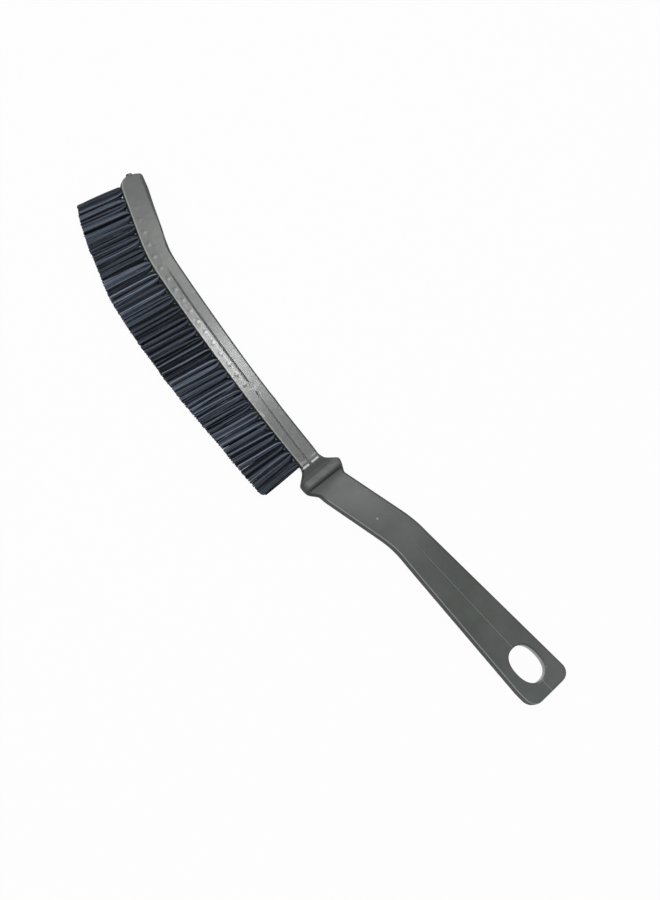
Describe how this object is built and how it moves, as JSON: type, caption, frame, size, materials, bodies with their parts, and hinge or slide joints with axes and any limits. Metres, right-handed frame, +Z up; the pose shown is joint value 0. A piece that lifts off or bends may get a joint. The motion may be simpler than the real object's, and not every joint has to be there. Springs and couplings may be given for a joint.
{
  "type": "crevice brush",
  "caption": "Slim hand brush for narrow gaps: a curved moulded blade with one row of stiff stapled tufts, a finger collar and a flat handle with a hanging hole.",
  "frame": {"origin": "on the ground under the middle of the whole brush, bristles included, as it lies on a broad side", "axes": "+X from the blade's tip to the handle's end, -Y the way the bristles point, +Z up through the brush's thickness"},
  "size_m": [0.2714, 0.0562, 0.009],
  "materials": {
    "body_plastic": "satin moulded, grey-green",
    "bristle": "stiff extruded filament, near-black navy",
    "staple_wire": "flat drawn wire, plain"
  },
  "bodies": {
    "root": {"handle_body": "body_plastic", "tuft_staples": "staple_wire", "tuft_01": "bristle", "tuft_02": "bristle", "tuft_03": "bristle", "tuft_04": "bristle", "tuft_05": "bristle", "tuft_06": "bristle", "tuft_07": "bristle", "tuft_08": "bristle", "tuft_09": "bristle", "tuft_10": "bristle", "tuft_11": "bristle", "tuft_12": "bristle", "tuft_13": "bristle", "tuft_14": "bristle", "tuft_15": "bristle", "tuft_16": "bristle", "tuft_17": "bristle", "tuft_18": "bristle", "tuft_19": "bristle", "tuft_20": "bristle", "tuft_21": "bristle", "tuft_22": "bristle", "tuft_23": "bristle", "tuft_24": "bristle", "tuft_25": "bristle", "tuft_26": "bristle"}
  },
  "joints": []
}
